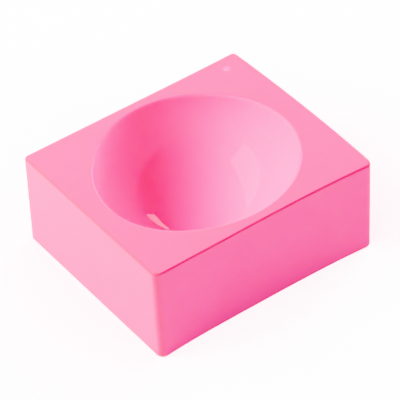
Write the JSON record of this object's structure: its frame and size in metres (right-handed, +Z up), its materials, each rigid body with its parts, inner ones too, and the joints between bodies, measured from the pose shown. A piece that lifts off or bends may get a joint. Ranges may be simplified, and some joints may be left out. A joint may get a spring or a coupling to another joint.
{
  "type": "resin casting mould",
  "caption": "One-piece soft silicone block with a large oval half-round cavity, open at the top, for casting resin, wax or soap domes.",
  "frame": {"origin": "centre of the flat base", "axes": "+X along the block's long side, +Y across it towards the back, +Z up out of the cavity"},
  "size_m": [0.122, 0.1046, 0.05],
  "materials": {
    "silicone": "soft pink silicone, satin outside and smooth and glossy inside the cavity"
  },
  "bodies": {
    "root": {"mould_block": "silicone"}
  },
  "joints": []
}
